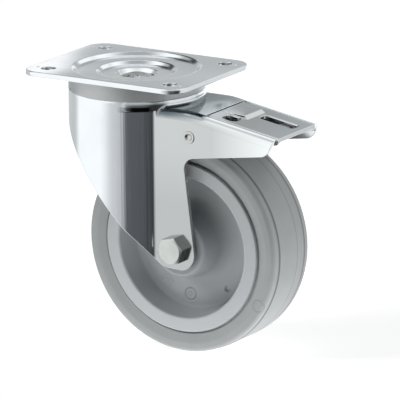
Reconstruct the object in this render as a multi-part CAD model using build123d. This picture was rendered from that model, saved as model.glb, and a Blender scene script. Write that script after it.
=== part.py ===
"""Swivel castor with a top plate and a pedal that locks both the wheel and the swivel.

Frame: the origin is on the swivel axis at the top plate's upper face, +Z up. The fork trails
towards +X, where the pedal is, and the axle runs along Y. All sizes are millimetres.
"""
import math
import os

from build123d import *

# Overall sizes
WHEEL_DIAMETER = 160.0        # over the tyre's crown
WHEEL_CLEARANCE = 15.2        # lower rivet head to the tyre
TRAIL = 52.5                  # swivel axis to axle, along X
RUNNING_GAP = 0.05            # radial clearance of a pin or sleeve that turns
SEAT_GAP = 0.1                # clearance of pieces that only rest against each other
MOVING_GAP = 0.35             # clearance of faces that pass each other

# Top plate
PLATE_LENGTH = 138.0
PLATE_WIDTH = 108.0
PLATE_SHEET = 3.5
PLATE_CORNER_R = 15.0
BOLT_SPACING_X = 105.0
BOLT_SPACING_Y = 77.0
BOLT_HOLE_R = 5.5
MARK_OFFSET = 9.3             # locating dimple, outboard of each hole
MARK_R = 1.2
DISH_BORDER = 8.0             # plate's long edge to the outer step of the pressed dish
DISH_OUTER_DEPTH = 2.5
DISH_INNER_R = 28.0           # inner step
DISH_INNER_DEPTH = 5.0
RECESS_R = 14.5               # recess for the kingpin's upper end
RECESS_DEPTH = 8.0
DISH_STEP_RUN = 3.0           # how far each step takes to go down
RECESS_STEP_RUN = 2.5
DISH_BEND_R = 1.44
PLATE_EDGE_R = 1.0
DISH_WALL_LEAN = 20.0         # degrees

# Fork, pressed from one sheet
SHEET = 3.0
HEAD_R = 50.5                 # round head, and the cape below it
HEAD_TOP = -12.0
HEAD_BEND_R = 6.0
HEAD_HOLE_R = 20.0
LEDGE_Z = -22.9               # the head overhangs the flat cape panels here
CREST_Z = -20.5               # saddle behind the head
CHEEK_Y = 34.0                # outer face of each cheek
ROLL_R = 7.0                  # rolled top edge of cheeks and wings
NECK_R = 2.3                  # hollow between head and saddle
LEDGE_BEND_R = 1.2            # lower edge of the head's overhang
PANEL_DISTANCE = 48.5         # flat panel between cape and cheek: its distance from the swivel axis
PANEL_ANGLE = 53.2            # and the direction it faces, from +X
CAPE_BEND_R = 12.0            # soft bend between cape and panel
CHEEK_BEND_R = 3.6
WING_SLOPE = 9.9              # degrees down, from WING_SLOPE_X on
WING_SLOPE_X = 64.5
WING_CREST_R = 60.0
WING_END_X = 136.4            # upper corner of the wing's end
WING_END_Z = -31.5

# Side outline of the fork: corners as (x, z) with their radius, the leg's measured from the axle
CAPE_EDGE_Z = -37.5
CAPE_CORNER = (-43.3, CAPE_EDGE_Z, 14.0)
LEG_FRONT_CORNER = (-12.6, -14.1, 18.0)
LEG_REAR_CORNER = (18.5, -15.7, 12.0)
WING_INNER_CORNER = (60.3, -55.7, 9.0)
WING_LOWER_CORNER = (132.1, -45.3, 9.0)

# Swivel bearing
UPPER_BALL_R = 4.0
UPPER_TRACK_INSET = 10.0      # outer step of the dish to the middle of the balls' track
UPPER_BALLS = 16
LOWER_BALL_R = 3.0
LOWER_PITCH_R = 25.0
LOWER_BALLS = 14
RACE_DEPTH = 0.6              # how deep the lower balls sit in each race
RACE_GAP = 0.1
LOWER_RACE_R = 30.0
LOWER_RACE_SHEET = 3.0
DUST_RING_WALL = 1.6
DUST_RING_BOTTOM = -15.5
DUST_NOTCH = (2.4, 2.4)       # drain notch in the dust ring, wide and high
DUST_NOTCH_ANGLE = 226.0

# Kingpin
KINGPIN_R = 8.0
KINGPIN_SHOULDER_R = 12.0
KINGPIN_HEAD_R = 11.5
KINGPIN_HEAD_HEIGHT = 2.4
KINGPIN_HEAD_EDGE = 0.85      # height of the head's outer edge
KINGPIN_HEAD_FLAT_R = 6.3
RIVET_HEAD_R = 13.0
RIVET_HEAD_FLAT_R = 10.4
RIVET_HEAD_HEIGHT = 4.0

# Lock ring and its tongue
LOCK_TEETH = 24
LOCK_RING_R = 36.0
LOCK_ROOT_R = 30.5
LOCK_RING_SHEET = 3.0
LOCK_GAP_WIDTH = 5.2
TONGUE_WIDTH = 4.0

# Wheel
TYRE_WIDTH = 50.0
TYRE_INNER_R = 65.5
TYRE_SHOULDER_R = 3.0
TYRE_EDGE_R = 0.9
TYRE_SIDE_BEND_R = 6.0
TREAD_FLAT = 34.4             # width of the tread's straight middle
TREAD_GROOVE = (1.0, 0.6)     # groove beside it, wide and deep
TREAD_DROP = 0.8              # how much lower the shoulder is
TYRE_SIDE_IN = 2.0            # the side wall leans in by this much at the rim
RIM_KEY_DEPTH = 3.0           # ring on the tyre that keys into the rim
RIM_KEY_WIDTH = 32.0
RIM_WIDTH = 50.0
RIM_GROOVE = (1.2, 3.5)       # groove between the rim's ring and the tyre, wide and deep
RIM_RING_INNER_R = 53.6
RIM_RING_ROUND = 1.6
RECESS_WALL_R = 51.0          # recess wall at the web
WEB_THICKNESS = 8.0
HUB_R = 21.5
HUB_DRAFT = 4.5
HUB_FLARE_R = 9.0             # the hub flares into the web
HUB_END_ROUND = 2.6
HUB_LENGTH = 58.0
HUB_BORE_R = 14.0
RIM_FILLET = 3.0

# Axle
AXLE_BOLT_R = 6.0
BOLT_CLEARANCE = 0.1
BOLT_FLATS = 19.0
BOLT_HEAD_HEIGHT = 8.0
BOLT_HEAD_TURN = -12.0        # how far the hexagon is turned
BOLT_END_CHAMFER = 1.0
BOLT_LENGTH = 82.0            # under the head
NUT_FLATS = 19.0
NUT_HEIGHT = 11.0
NUT_HEX_SHARE = 0.72          # the hexagon's share of the nut's height
NUT_COLLAR_R = 8.0
NUT_COLLAR_ROUND = 1.0
HEX_FACE_SHARE = 0.92         # the round face's share of the flats
HEX_CHAMFER_ANGLE = 30.0
WASHER_R = 12.0
WASHER_THICKNESS = 1.6
SLEEVE_R = 10.0
ROLLER_R = 1.95
ROLLER_PITCH_R = 12.0
ROLLERS = 12
ROLLER_LENGTH = 40.0
CAGE_LENGTH = 46.0
CAGE_WALL = 2.0
COVER_R = 15.8
COVER_FLANGE = 1.4
COVER_STUB = 4.0

# Pedal and brake
PIVOT_X = 65.6
PIVOT_Z = -38.9
PIVOT_PIN_R = 3.0
PIVOT_HEAD_R = 4.7
PIVOT_HEAD_HEIGHT = 0.7
PIVOT_HEAD_ROUND = 0.55
PIVOT_DIMPLE = (3.1, 1.5, 1.3)  # hollow in the rivet's end: radii and depth
PRESS_ANGLE = 12.0            # pedal's travel
PEDAL_SHEET = 2.5
PEDAL_X = 77.0                # pedal's front edge
PEDAL_DROP = 0.3              # how far its face lies below the wings' tops
PEDAL_BEND_R = 2.8
PEDAL_LENGTH = 60.8           # along the slope
PEDAL_EAR_R = 7.4
PEDAL_END_DEPTH = 4.6         # flange depth at the free end
PEDAL_END_CORNER_R = 2.0
PEDAL_END_ROUND = 1.1
PEDAL_FRONT_CORNER_R = 0.5
OPENING_GAP = 1.2             # saddle's edge to the pedal's front edge
OPENING_HALF_WIDTH = 26.8
OPENING_CORNER_R = 1.5
STEP_START = 1.0              # raised step across the pedal: it rises gently, along the slope,
STEP_TOP = 19.6               # as far as here,
STEP_END = 23.4               # and falls again before this
STEP_RISE = 1.9
STEP_ROOT = 0.6               # how deep it is rooted in the plate
STEP_BEND_R = 1.0
STEP_Y = (-7.4, 17.0)
WINDOW_S = (7.6, 19.6)        # window beside the step
WINDOW_Y = (-20.5, -9.0)
WINDOW_CORNER_R = 4.5
SLOT_S = (25.8, 54.6)         # long slot towards the free end
SLOT_Y = (3.4, 13.6)
SLOT_CORNER_R = 3.0
HOLE_ROUND = 1.1              # rounded upper edges of window and slot
SPACER_R = 6.0
LEAF_SHEET = 2.0
LEAF_WIDTH = 24.0
LEAF_HEIGHT = -33.6           # centre of the leaf where it passes over the pin
LEAF_FRONT_X = 38.5
TONGUE_TIP = (31.0, -28.6)
LEAF_BEND_R = 3.5
SHOE_START_ANGLE = 8.0        # round the tyre, from the shoe's own vertical
SHOE_END_ANGLE = 22.0
SHOE_TRIM_ANGLES = (0.8, 2.6)  # how far the shoe stops short of the leaf's two bends
SHOE_THICKNESS = 3.0
SHOE_WIDTH = 30.0
SHOE_GAP = 0.2                # left to the tread with the pedal down
LEAF_FOOT_X = (109.0, 124.0)
LEAF_FOOT_Y = (-12.0, 1.5)

# Places worked out from the sizes above
CHEEK_INNER_Y = CHEEK_Y - SHEET
DISH_OUTER_R = PLATE_WIDTH / 2 - DISH_BORDER
UPPER_PITCH_R = DISH_OUTER_R - UPPER_TRACK_INSET
PLATE_UNDER = -PLATE_SHEET
HEAD_UNDER = HEAD_TOP - SHEET
LOWER_BALL_Z = HEAD_UNDER - LOWER_BALL_R + RACE_DEPTH
LOWER_RACE_TOP = LOWER_BALL_Z - LOWER_BALL_R + RACE_DEPTH
LOCK_RING_TOP = LOWER_RACE_TOP - LOWER_RACE_SHEET
LOCK_RING_BOTTOM = LOCK_RING_TOP - LOCK_RING_SHEET
RIVET_BOTTOM = LOCK_RING_BOTTOM - RIVET_HEAD_HEIGHT
UPPER_BALL_Z = (HEAD_TOP - DISH_OUTER_DEPTH - PLATE_SHEET) / 2
WHEEL_R = WHEEL_DIAMETER / 2
AXLE_X = TRAIL
AXLE_Z = RIVET_BOTTOM - WHEEL_CLEARANCE - WHEEL_R
AXLE_AXIS = Axis((AXLE_X, 0, AXLE_Z), (0, 1, 0))
PEDAL_HALF_WIDTH = OPENING_HALF_WIDTH - MOVING_GAP
PEDAL_Z = CREST_Z - PEDAL_DROP - (PEDAL_X - WING_SLOPE_X) * math.tan(math.radians(WING_SLOPE))
PEDAL_FRAME = Plane(
    origin=(PEDAL_X, 0, PEDAL_Z),
    x_dir=(math.cos(math.radians(WING_SLOPE)), 0, -math.sin(math.radians(WING_SLOPE))),
    z_dir=(math.sin(math.radians(WING_SLOPE)), 0, math.cos(math.radians(WING_SLOPE))),
)
FAR = 400.0                   # longer than the whole part, for cuts that go right through
NEAR = 0.01                   # two measures closer than this are the same
FROM_BELOW = (Align.CENTER, Align.CENTER, Align.MIN)
FROM_ABOVE = (Align.CENTER, Align.CENTER, Align.MAX)


def outline(corners):
    """Closed face in the XZ plane from (x, z, radius) corners."""
    points = [(x, 0, z) for x, z, _ in corners]
    return make_face(FilletPolyline(*points, radius=[r for _, _, r in corners], close=True))


def slab(corners, half_width):
    """The XZ outline pushed out to both sides along Y."""
    return extrude(outline(corners), amount=half_width, dir=(0, 1, 0), both=True)


def turned_about_z(points):
    """Solid of revolution about the swivel axis from (r, z) points."""
    return revolve(make_face(Polyline(*[(r, 0, z) for r, z in points], close=True)), Axis.Z)


def turned_about_axle(points):
    """Solid of revolution about the axle from (r, y) points."""
    corners = [(AXLE_X + r, y, AXLE_Z) for r, y in points]
    return revolve(make_face(Polyline(*corners, close=True)), AXLE_AXIS)


def rod(radius, y_from, y_to, x=AXLE_X, z=AXLE_Z):
    """Cylinder along Y."""
    disc = Plane(origin=(x, y_from, z), x_dir=(1, 0, 0), z_dir=(0, 1, 0)) * Circle(radius)
    return extrude(disc, amount=y_to - y_from, dir=(0, 1, 0))


def ring_of(shape, count, centre=(0, 0, 0), direction=(0, 0, 1)):
    """Copies of one solid, evenly spaced round an axis."""
    axis = Axis(centre, direction)
    return Compound(children=[shape.rotate(axis, 360 * i / count) for i in range(count)])


def groove(pitch_r, z, ball_r):
    """Ring-shaped track for balls."""
    return Pos(0, 0, z) * Torus(pitch_r, ball_r + RACE_GAP)


# Top plate


def dish_profile(offset):
    """Points (r, z) of the dished face from the axis out. The underside is offset by the sheet."""
    steps = [
        (RECESS_R, RECESS_STEP_RUN, RECESS_DEPTH, DISH_INNER_DEPTH),
        (DISH_INNER_R, DISH_STEP_RUN, DISH_INNER_DEPTH, DISH_OUTER_DEPTH),
        (DISH_OUTER_R, DISH_STEP_RUN, DISH_OUTER_DEPTH, 0),
    ]
    spread = offset * math.tan(math.radians(DISH_WALL_LEAN))
    points = [(0, -RECESS_DEPTH - offset)]
    for radius, run, depth_inside, depth_outside in steps:
        points.append((radius - run / 2 + spread, -depth_inside - offset))
        points.append((radius + run / 2 + spread, -depth_outside - offset))
    return points


def bolt_places():
    return [
        (side_x * BOLT_SPACING_X / 2, side_y * BOLT_SPACING_Y / 2)
        for side_x in (-1, 1)
        for side_y in (-1, 1)
    ]


def make_top_plate():
    blank = extrude(RectangleRounded(PLATE_LENGTH, PLATE_WIDTH, PLATE_CORNER_R), amount=-PLATE_SHEET)
    upper, lower = dish_profile(0), dish_profile(PLATE_SHEET)
    rim_r = upper[-1][0]
    hollow_top = turned_about_z(upper + [(rim_r, PLATE_SHEET), (0, PLATE_SHEET)])
    dish_body = turned_about_z(lower + [(lower[-1][0], 0), (0, 0)])
    plate = blank + dish_body - hollow_top
    bends = [
        e for e in plate.edges().filter_by(GeomType.CIRCLE)
        if DISH_INNER_R - DISH_STEP_RUN < e.radius < rim_r + DISH_STEP_RUN
    ]
    plate = fillet(bends, DISH_BEND_R)
    plate = fillet(plate.faces().sort_by(Axis.Z)[-1].outer_wire().edges(), PLATE_EDGE_R)
    for x, y in bolt_places():
        plate -= Pos(x, y, 0) * Cylinder(BOLT_HOLE_R, FAR)
        mark_x = x + math.copysign(MARK_OFFSET, x)
        plate -= Pos(mark_x, y, MARK_R / 2) * Sphere(MARK_R)
    plate -= Cylinder(KINGPIN_R, FAR)
    return plate - groove(UPPER_PITCH_R, UPPER_BALL_Z, UPPER_BALL_R)


def make_kingpin():
    """Stepped pin: rough riveted end in the plate's recess, shoulder, shank and lower rivet head."""
    recess_under = -RECESS_DEPTH - PLATE_SHEET
    return turned_about_z([
        (0, -RECESS_DEPTH + KINGPIN_HEAD_HEIGHT),
        (KINGPIN_HEAD_FLAT_R, -RECESS_DEPTH + KINGPIN_HEAD_HEIGHT),
        (KINGPIN_HEAD_R, -RECESS_DEPTH + KINGPIN_HEAD_EDGE),
        (KINGPIN_HEAD_R, -RECESS_DEPTH),
        (KINGPIN_R, -RECESS_DEPTH),
        (KINGPIN_R, recess_under),
        (KINGPIN_SHOULDER_R, recess_under),
        (KINGPIN_SHOULDER_R, LOWER_RACE_TOP),
        (KINGPIN_R, LOWER_RACE_TOP),
        (KINGPIN_R, LOCK_RING_BOTTOM),
        (RIVET_HEAD_R, LOCK_RING_BOTTOM),
        (RIVET_HEAD_FLAT_R, RIVET_BOTTOM),
        (0, RIVET_BOTTOM),
    ])


def make_lower_race():
    """Hardened cup that holds the lower balls against the fork's head."""
    disc = turned_about_z([
        (KINGPIN_R, LOWER_RACE_TOP),
        (LOWER_RACE_R, LOWER_RACE_TOP),
        (LOWER_RACE_R, LOCK_RING_TOP),
        (KINGPIN_R, LOCK_RING_TOP),
    ])
    return disc - groove(LOWER_PITCH_R, LOWER_BALL_Z, LOWER_BALL_R)


def make_lock_ring():
    """Toothed disc riveted to the kingpin. The tongue rises into one of its gaps."""
    disc = turned_about_z([
        (KINGPIN_R, LOCK_RING_TOP),
        (LOCK_RING_R, LOCK_RING_TOP),
        (LOCK_RING_R, LOCK_RING_BOTTOM),
        (KINGPIN_R, LOCK_RING_BOTTOM),
    ])
    depth = LOCK_RING_R - LOCK_ROOT_R
    gap = Pos(LOCK_ROOT_R + depth, 0, 0) * Box(2 * depth, LOCK_GAP_WIDTH, FAR)
    return disc - ring_of(gap, LOCK_TEETH)


# Fork


def skirt_section(inset, x_end):
    """Plan section of the fork below its head: round cape, flat panels and parallel cheeks."""
    radius = HEAD_R - inset
    distance = PANEL_DISTANCE - inset
    cheek = CHEEK_Y - inset
    normal = (math.cos(math.radians(PANEL_ANGLE)), math.sin(math.radians(PANEL_ANGLE)))
    meet = math.radians(PANEL_ANGLE) + math.acos(distance / radius)
    cape_x, cape_y = radius * math.cos(meet), radius * math.sin(meet)
    cheek_x = (distance - normal[1] * cheek) / normal[0]
    edges = [
        ThreePointArc((cape_x, cape_y), (-radius, 0), (cape_x, -cape_y)),
        Line((cape_x, -cape_y), (cheek_x, -cheek)),
        Line((cheek_x, -cheek), (x_end, -cheek)),
        Line((x_end, -cheek), (x_end, cheek)),
        Line((x_end, cheek), (cheek_x, cheek)),
        Line((cheek_x, cheek), (cape_x, cape_y)),
    ]
    section = make_face(edges)
    section = fillet([v for v in section.vertices() if abs(v.X - cheek_x) < NEAR], CHEEK_BEND_R - inset)
    return fillet([v for v in section.vertices() if abs(v.X - cape_x) < NEAR], CAPE_BEND_R - inset)


def fork_envelope(inset, x_end):
    """The sheet's outer surface as a solid, or its inner surface when inset by the sheet."""
    floor = AXLE_Z - WHEEL_R
    section = skirt_section(inset, x_end)
    radius = HEAD_R - inset
    ledge = LEDGE_Z + inset
    crest = CREST_Z - inset
    head = Pos(0, 0, ledge) * Cylinder(radius, HEAD_TOP - inset - ledge, align=FROM_BELOW)
    head = fillet(head.edges().sort_by(Axis.Z)[-1], HEAD_BEND_R - inset)
    if inset == 0:
        head = fillet(head.edges().sort_by(Axis.Z)[0], LEDGE_BEND_R)
    core = extrude(Pos(0, 0, floor) * (section & Circle(radius)), amount=HEAD_TOP - HEAD_BEND_R - floor)
    crest_end = crest - (x_end - WING_SLOPE_X) * math.tan(math.radians(WING_SLOPE))
    side = slab([
        (0, floor, 0),
        (x_end, floor, 0),
        (x_end, crest_end, 0),
        (WING_SLOPE_X, crest, WING_CREST_R - inset),
        (0, crest, 0),
    ], FAR)
    skirt = extrude(Pos(0, 0, floor) * section, amount=-floor) & side
    cheek = CHEEK_Y - inset
    rolls = [
        e for e in skirt.edges()
        if abs(abs(e.center().Y) - cheek) < NEAR and e.center().Z > crest_end - NEAR
        and abs(e.tangent_at(0).X) > abs(e.tangent_at(0).Z)
    ]
    skirt = fillet(rolls, ROLL_R - inset)
    envelope = head + core + skirt
    neck = [
        e for e in envelope.edges().filter_by(GeomType.CIRCLE)
        if abs(e.radius - radius) < NEAR and abs(e.center().Z - crest) < NEAR
    ]
    return fillet(neck, NECK_R)


def fork_side():
    """Side outline that trims the fork: cape edge, leg round the axle, wing."""
    lean = (WING_END_X - WING_LOWER_CORNER[0]) / (WING_END_Z - WING_LOWER_CORNER[1])
    end_x = WING_END_X - lean * WING_END_Z
    leg_corners = [(AXLE_X + x, AXLE_Z + z, r) for x, z, r in (LEG_FRONT_CORNER, LEG_REAR_CORNER)]
    return slab([
        (-FAR, 0, 0),
        (-FAR, CAPE_EDGE_Z, 0),
        CAPE_CORNER,
        *leg_corners,
        WING_INNER_CORNER,
        WING_LOWER_CORNER,
        (end_x, 0, 0),
    ], FAR)


def pedal_opening():
    """Opening between the wings, from the saddle's rear edge on."""
    front = PEDAL_X - OPENING_GAP
    plan = RectangleRounded(FAR, 2 * OPENING_HALF_WIDTH, OPENING_CORNER_R)
    return extrude(Pos(front + FAR / 2, 0, 0) * plan, amount=FAR, both=True)


def make_fork():
    outer = fork_envelope(0, WING_END_X + SHEET * 4)
    inner = fork_envelope(SHEET, WING_END_X + SHEET * 6)
    fork = ((outer - inner) & fork_side()) - pedal_opening()
    fork -= Cylinder(HEAD_HOLE_R, FAR)
    fork -= groove(UPPER_PITCH_R, UPPER_BALL_Z, UPPER_BALL_R)
    fork -= groove(LOWER_PITCH_R, LOWER_BALL_Z, LOWER_BALL_R)
    fork -= rod(AXLE_BOLT_R + BOLT_CLEARANCE, -FAR, FAR)
    return fork - rod(PIVOT_PIN_R + RUNNING_GAP, -FAR, FAR, PIVOT_X, PIVOT_Z)


def make_dust_ring():
    """Plastic ring that covers the upper balls. It sits on the rounded shoulder of the head."""
    top = PLATE_UNDER - MOVING_GAP
    tube = Cylinder(HEAD_R, FAR) - Cylinder(HEAD_R - DUST_RING_WALL, FAR)
    band = Pos(0, 0, DUST_RING_BOTTOM) * Cylinder(FAR, top - DUST_RING_BOTTOM, align=FROM_BELOW)
    seat = Pos(0, 0, HEAD_TOP + SEAT_GAP) * Cylinder(HEAD_R + SEAT_GAP, FAR / 2, align=FROM_ABOVE)
    seat = fillet(seat.edges().sort_by(Axis.Z)[-1], HEAD_BEND_R + SEAT_GAP)
    width, height = DUST_NOTCH
    notch = Pos(HEAD_R, 0, DUST_RING_BOTTOM + height / 2) * Box(FAR / 20, width, height)
    return (tube & band) - seat - notch.rotate(Axis.Z, DUST_NOTCH_ANGLE)


def make_upper_balls():
    return ring_of(Pos(UPPER_PITCH_R, 0, UPPER_BALL_Z) * Sphere(UPPER_BALL_R), UPPER_BALLS)


def make_lower_balls():
    return ring_of(Pos(LOWER_PITCH_R, 0, LOWER_BALL_Z) * Sphere(LOWER_BALL_R), LOWER_BALLS)


# Wheel


def turned_outline(corners):
    """Solid of revolution about the axle from (r, y, radius) corners."""
    points = [(AXLE_X + r, y, AXLE_Z) for r, y, _ in corners]
    face = make_face(FilletPolyline(*points, radius=[c[2] for c in corners], close=True))
    return revolve(face, AXLE_AXIS)


def mirrored(corners):
    """The corners for +Y, followed by the same ones for -Y in reverse."""
    return corners + [(r, -y, radius) for r, y, radius in reversed(corners)]


def make_tyre():
    half = TYRE_WIDTH / 2
    side = half - TYRE_SIDE_IN
    key = RIM_KEY_WIDTH / 2
    tread = TREAD_FLAT / 2
    groove_width, groove_depth = TREAD_GROOVE
    return turned_outline(mirrored([
        (TYRE_INNER_R - RIM_KEY_DEPTH, key - RIM_KEY_DEPTH / 2, 0),
        (TYRE_INNER_R, key, 0),
        (TYRE_INNER_R, side, TYRE_EDGE_R),
        ((TYRE_INNER_R + WHEEL_R) / 2, half, TYRE_SIDE_BEND_R),
        (WHEEL_R - TREAD_DROP, half, TYRE_SHOULDER_R),
        (WHEEL_R - groove_depth / 3, tread + groove_width, 0),
        (WHEEL_R - groove_depth, tread + groove_width / 2, 0),
        (WHEEL_R, tread, 0),
    ]))


def make_wheel_rim():
    """Moulded wheel centre: rim ring, web and hub."""
    key = RIM_KEY_WIDTH / 2
    seat_r = TYRE_INNER_R
    face = RIM_WIDTH / 2
    half_web = WEB_THICKNESS / 2
    groove_width, groove_depth = RIM_GROOVE
    return turned_outline(mirrored([
        (seat_r - RIM_KEY_DEPTH, key - RIM_KEY_DEPTH / 2, 0),
        (seat_r, key, 0),
        (seat_r, face - groove_depth, 0),
        (seat_r - groove_width, face - groove_depth, 0),
        (seat_r - groove_width, face, TYRE_EDGE_R),
        (RIM_RING_INNER_R, face, RIM_RING_ROUND),
        (RECESS_WALL_R, half_web, RIM_FILLET),
        (HUB_R + HUB_DRAFT, half_web, HUB_FLARE_R),
        (HUB_R, HUB_LENGTH / 2, HUB_END_ROUND),
        (HUB_BORE_R, HUB_LENGTH / 2, 0),
    ]))


def make_roller_cage():
    half = CAGE_LENGTH / 2
    inner, outer = ROLLER_PITCH_R - CAGE_WALL / 2, ROLLER_PITCH_R + CAGE_WALL / 2
    cage = turned_about_axle([(inner, -half), (outer, -half), (outer, half), (inner, half)])
    pocket = Pos(AXLE_X + ROLLER_PITCH_R, 0, AXLE_Z) * Box(
        CAGE_WALL * 2, ROLLER_LENGTH + 2 * SEAT_GAP, 2 * (ROLLER_R + SEAT_GAP)
    )
    return cage - ring_of(pocket, ROLLERS, (AXLE_X, 0, AXLE_Z), (0, 1, 0))


def make_rollers():
    half = ROLLER_LENGTH / 2
    roller = rod(ROLLER_R, -half, half, x=AXLE_X + ROLLER_PITCH_R)
    return ring_of(roller, ROLLERS, (AXLE_X, 0, AXLE_Z), (0, 1, 0))


def make_bearing_cover(side):
    """Flanged bush in one end of the hub bore. It keeps the rollers in and runs on the sleeve."""
    face = HUB_LENGTH / 2
    inner = SLEEVE_R + RUNNING_GAP
    return turned_about_axle([
        (inner, side * (face - COVER_STUB)),
        (HUB_BORE_R, side * (face - COVER_STUB)),
        (HUB_BORE_R, side * face),
        (COVER_R, side * face),
        (COVER_R, side * (face + COVER_FLANGE)),
        (inner, side * (face + COVER_FLANGE)),
    ])


# Axle


def hexagon(flats, y_from, y_to, turn):
    """Hexagonal prism along Y at the axle, its outer corners chamfered."""
    plane = Plane(origin=(AXLE_X, y_from, AXLE_Z), x_dir=(1, 0, 0), z_dir=(0, 1, 0))
    prism = extrude(plane * Rot(0, 0, turn) * RegularPolygon(flats / 2, 6, major_radius=False),
                    amount=y_to - y_from, dir=(0, 1, 0))
    corner_r = flats / math.sqrt(3)
    face_r = flats / 2 * HEX_FACE_SHARE
    chamfer_h = (corner_r - face_r) * math.tan(math.radians(HEX_CHAMFER_ANGLE))
    outward = math.copysign(1, y_to + y_from)
    face_y = y_to if outward > 0 else y_from
    back_y = y_from if outward > 0 else y_to
    return prism & turned_about_axle([
        (0, back_y),
        (corner_r, back_y),
        (corner_r, face_y - outward * chamfer_h),
        (face_r, face_y),
        (0, face_y),
    ])


def make_axle_bolt():
    head_face = -CHEEK_Y - BOLT_HEAD_HEIGHT
    head = hexagon(BOLT_FLATS, head_face, -CHEEK_Y, BOLT_HEAD_TURN)
    shank = rod(AXLE_BOLT_R, -CHEEK_Y, BOLT_LENGTH - CHEEK_Y)
    end = shank.edges().filter_by(GeomType.CIRCLE).sort_by(Axis.Y)[-1]
    return head + chamfer(end, BOLT_END_CHAMFER)


def make_axle_washer():
    disc = rod(WASHER_R, CHEEK_Y, CHEEK_Y + WASHER_THICKNESS)
    return disc - rod(AXLE_BOLT_R + BOLT_CLEARANCE, -FAR, FAR)


def make_axle_nut():
    """Lock nut: hexagon with a rounded collar."""
    base = CHEEK_Y + WASHER_THICKNESS
    hex_top = base + NUT_HEIGHT * NUT_HEX_SHARE
    nut = hexagon(NUT_FLATS, base, hex_top, 0) + rod(NUT_COLLAR_R, base, base + NUT_HEIGHT)
    rim = nut.edges().filter_by(GeomType.CIRCLE).sort_by(Axis.Y)[-1]
    return fillet(rim, NUT_COLLAR_ROUND) - rod(AXLE_BOLT_R, -FAR, FAR)


def make_axle_sleeve():
    tube = rod(SLEEVE_R, -CHEEK_INNER_Y, CHEEK_INNER_Y)
    return tube - rod(AXLE_BOLT_R + BOLT_CLEARANCE, -FAR, FAR)


# Pedal and brake


def on_slope(s, n):
    """World (x, z) of a point on the pedal: s along its slope, n above its face."""
    point = PEDAL_FRAME.from_local_coords((s, 0, n))
    return point.X, point.Z


def slope_box(s_range, y_range, n_range):
    """Box in the pedal's own directions."""
    size = [b - a for a, b in (s_range, y_range, n_range)]
    middle = [(a + b) / 2 for a, b in (s_range, y_range, n_range)]
    return PEDAL_FRAME * Pos(*middle) * Box(*size)


def pedal_channel(inset):
    """Channel with rounded upper edges, longer than the pedal at both ends."""
    half = PEDAL_HALF_WIDTH - inset
    block = slope_box((-PEDAL_LENGTH, 2 * PEDAL_LENGTH), (-half, half), (-PEDAL_LENGTH, -inset))
    tops = [
        e for e in block.edges()
        if abs(e.tangent_at(0).Y) < NEAR and PEDAL_FRAME.to_local_coords(e.center()).Z > -inset - NEAR
    ]
    return fillet(tops, PEDAL_BEND_R - inset)


def pedal_side():
    """Side outline of the pedal: plate above, flanges below, ears round the pivot."""
    ear = PEDAL_EAR_R
    return slab([
        (*on_slope(0, 0), 0),
        (*on_slope(0, -PEDAL_BEND_R), PEDAL_FRONT_CORNER_R),
        (PIVOT_X - ear, PIVOT_Z + ear, ear),
        (PIVOT_X - ear, PIVOT_Z - ear, ear),
        (*on_slope(PEDAL_LENGTH, -PEDAL_END_DEPTH), PEDAL_END_CORNER_R),
        (*on_slope(PEDAL_LENGTH, 0), PEDAL_END_ROUND),
    ], FAR)


def step_wedge(lift):
    """Low wedge across the pedal, its foot lifted along the plate's normal."""
    wedge = slab([
        (*on_slope(STEP_START, lift - STEP_ROOT), 0),
        (*on_slope(STEP_START, lift), 0),
        (*on_slope(STEP_TOP, lift + STEP_RISE), STEP_BEND_R),
        (*on_slope(STEP_END, lift), 0),
        (*on_slope(STEP_END, lift - STEP_ROOT), 0),
    ], (STEP_Y[1] - STEP_Y[0]) / 2)
    return Pos(0, sum(STEP_Y) / 2, 0) * wedge


def plate_hole(s_range, y_range, corner_r):
    """Rounded hole through the pedal's plate."""
    size = (s_range[1] - s_range[0], y_range[1] - y_range[0])
    middle = (sum(s_range) / 2, sum(y_range) / 2, 0)
    outline_face = PEDAL_FRAME * Pos(*middle) * RectangleRounded(*size, corner_r)
    return extrude(outline_face, amount=PEDAL_SHEET * 2, both=True)


def make_brake_pedal():
    """Pressed channel: plate with a raised step, window and slot, side flanges with pivot ears."""
    pedal = (pedal_channel(0) - pedal_channel(PEDAL_SHEET)) & pedal_side()
    pedal -= plate_hole(WINDOW_S, WINDOW_Y, WINDOW_CORNER_R)
    pedal -= plate_hole(SLOT_S, SLOT_Y, SLOT_CORNER_R)
    mouths = [
        e for e in pedal.edges()
        if abs(PEDAL_FRAME.to_local_coords(e.center()).Z) < NEAR
        and WINDOW_S[0] - NEAR < PEDAL_FRAME.to_local_coords(e.center()).X < SLOT_S[1] + NEAR
        and abs(e.center().Y) < PEDAL_HALF_WIDTH - PEDAL_BEND_R - NEAR
    ]
    pedal = fillet(mouths, HOLE_ROUND)
    pedal = pedal + step_wedge(0) - step_wedge(-PEDAL_SHEET)
    return pedal - rod(PIVOT_PIN_R + RUNNING_GAP, -FAR, FAR, PIVOT_X, PIVOT_Z)


def make_pedal_pin():
    """Rivet through both cheeks, hollow at its ends."""
    pin = rod(PIVOT_PIN_R, -CHEEK_Y, CHEEK_Y, PIVOT_X, PIVOT_Z)
    mouth_r, bottom_r, depth = PIVOT_DIMPLE
    for side in (-1, 1):
        face = side * (CHEEK_Y + PIVOT_HEAD_HEIGHT)
        pin += rod(PIVOT_HEAD_R, side * CHEEK_Y, face, PIVOT_X, PIVOT_Z)
        rim = [e for e in pin.edges().filter_by(GeomType.CIRCLE) if abs(e.center().Y - face) < NEAR]
        pin = fillet(rim, PIVOT_HEAD_ROUND)
        mouth = Plane(origin=(PIVOT_X, face, PIVOT_Z), x_dir=(1, 0, 0), z_dir=(0, -side, 0))
        pin -= mouth * Cone(mouth_r, bottom_r, depth, align=FROM_BELOW)
    return pin


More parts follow.
